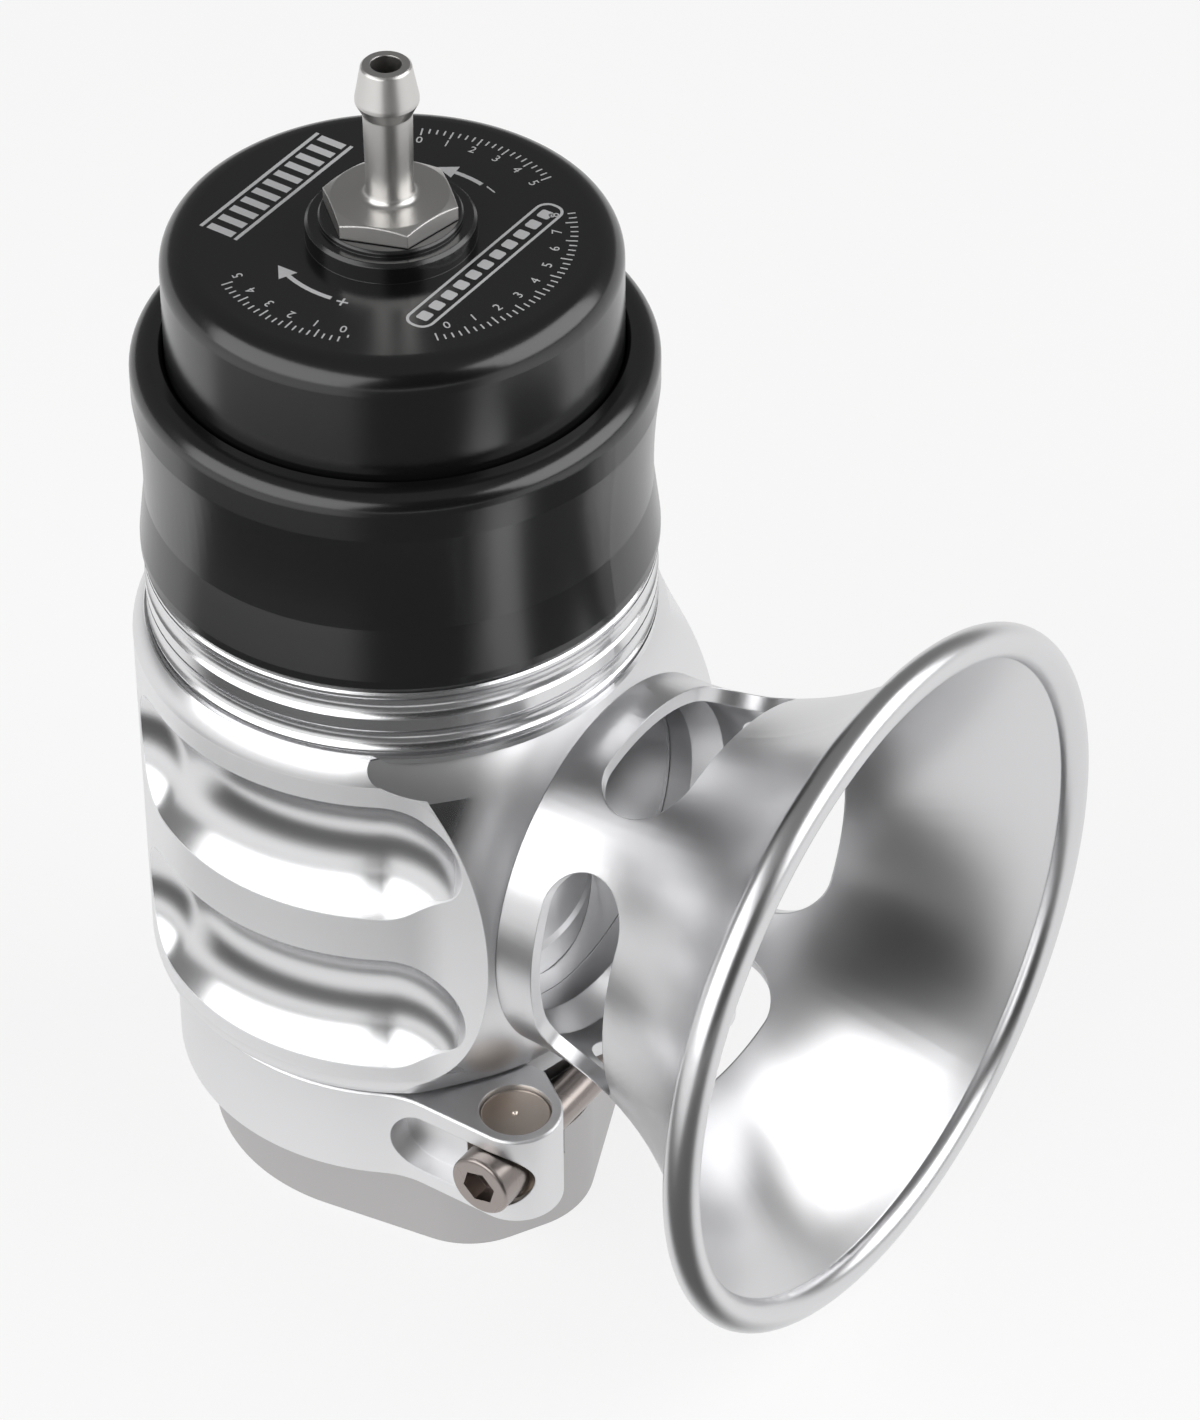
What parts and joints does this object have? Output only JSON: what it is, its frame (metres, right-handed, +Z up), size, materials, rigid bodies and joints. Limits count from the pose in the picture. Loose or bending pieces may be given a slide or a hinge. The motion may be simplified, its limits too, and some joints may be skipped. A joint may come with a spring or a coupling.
{
  "type": "blow off valve",
  "caption": "Vent-to-atmosphere blow off valve with a V clamp weld flange, flared trumpet outlet, black adjuster cap and hose nipple.",
  "frame": {"origin": "centre of the inlet bore at the weld flange's bottom face", "axes": "+Z up the valve's axis towards the cap and nipple, +X along the trumpet's axis out of the outlet"},
  "size_m": [0.1267, 0.1102, 0.1895],
  "materials": {
    "polished_aluminium": "bright turned and polished aluminium",
    "spun_aluminium": "polished spun aluminium",
    "turned_aluminium": "fine turned aluminium",
    "black_anodised": "satin gloss black anodised aluminium",
    "stainless": "fine turned stainless steel",
    "satin_nickel": "satin nickel",
    "spring_steel": "drawn spring wire",
    "seal_rubber": "black nitrile rubber",
    "bearing_plastic": "off-white bearing plastic"
  },
  "bodies": {
    "base": {"weld_flange": "polished_aluminium", "clamp_collar": "polished_aluminium", "clamp_pin_plain": "stainless", "clamp_pin_threaded": "stainless", "clamp_screw": "stainless", "flange_o_ring": "seal_rubber"},
    "valve": {"valve_body": "polished_aluminium", "trumpet": "spun_aluminium", "trumpet_o_ring": "seal_rubber", "cap_collar": "black_anodised", "collar_o_ring": "seal_rubber"},
    "piston": {"piston": "turned_aluminium", "piston_o_ring": "seal_rubber", "piston_wear_ring": "bearing_plastic", "piston_face_seal": "seal_rubber", "main_spring": "spring_steel", "inner_spring": "spring_steel"},
    "preload": {"spring_washer": "stainless"},
    "cap": {"adjuster_cap": "black_anodised", "cap_o_ring": "seal_rubber", "hose_nipple": "satin_nickel", "nipple_o_ring": "seal_rubber"}
  },
  "joints": [
    {"name": "valve_swivel", "type": "hinge", "parent": "base", "child": "valve", "pos_m": [0, 0, 0], "axis": [0, 0, 1], "continuous": true},
    {"name": "piston_lift", "type": "slide", "parent": "valve", "child": "piston", "axis": [0, 0, 1], "range_m": [0, 0.018], "stiffness_N_per_m": 1500, "springref_m": -0.012, "deforming": ["main_spring", "inner_spring"]},
    {"name": "preload_slide", "type": "slide", "parent": "valve", "child": "preload", "axis": [0, 0, 1], "range_m": [-0.006, 0.003]},
    {"name": "cap_turn", "type": "hinge", "parent": "preload", "child": "cap", "pos_m": [0, 0, 0.16], "axis": [0, 0, 1], "range_deg": [-1440, 720]}
  ],
  "couplings": [
    {"joint": "preload_slide", "follows": "cap_turn", "m_per_rad": 0.0002387}
  ]
}
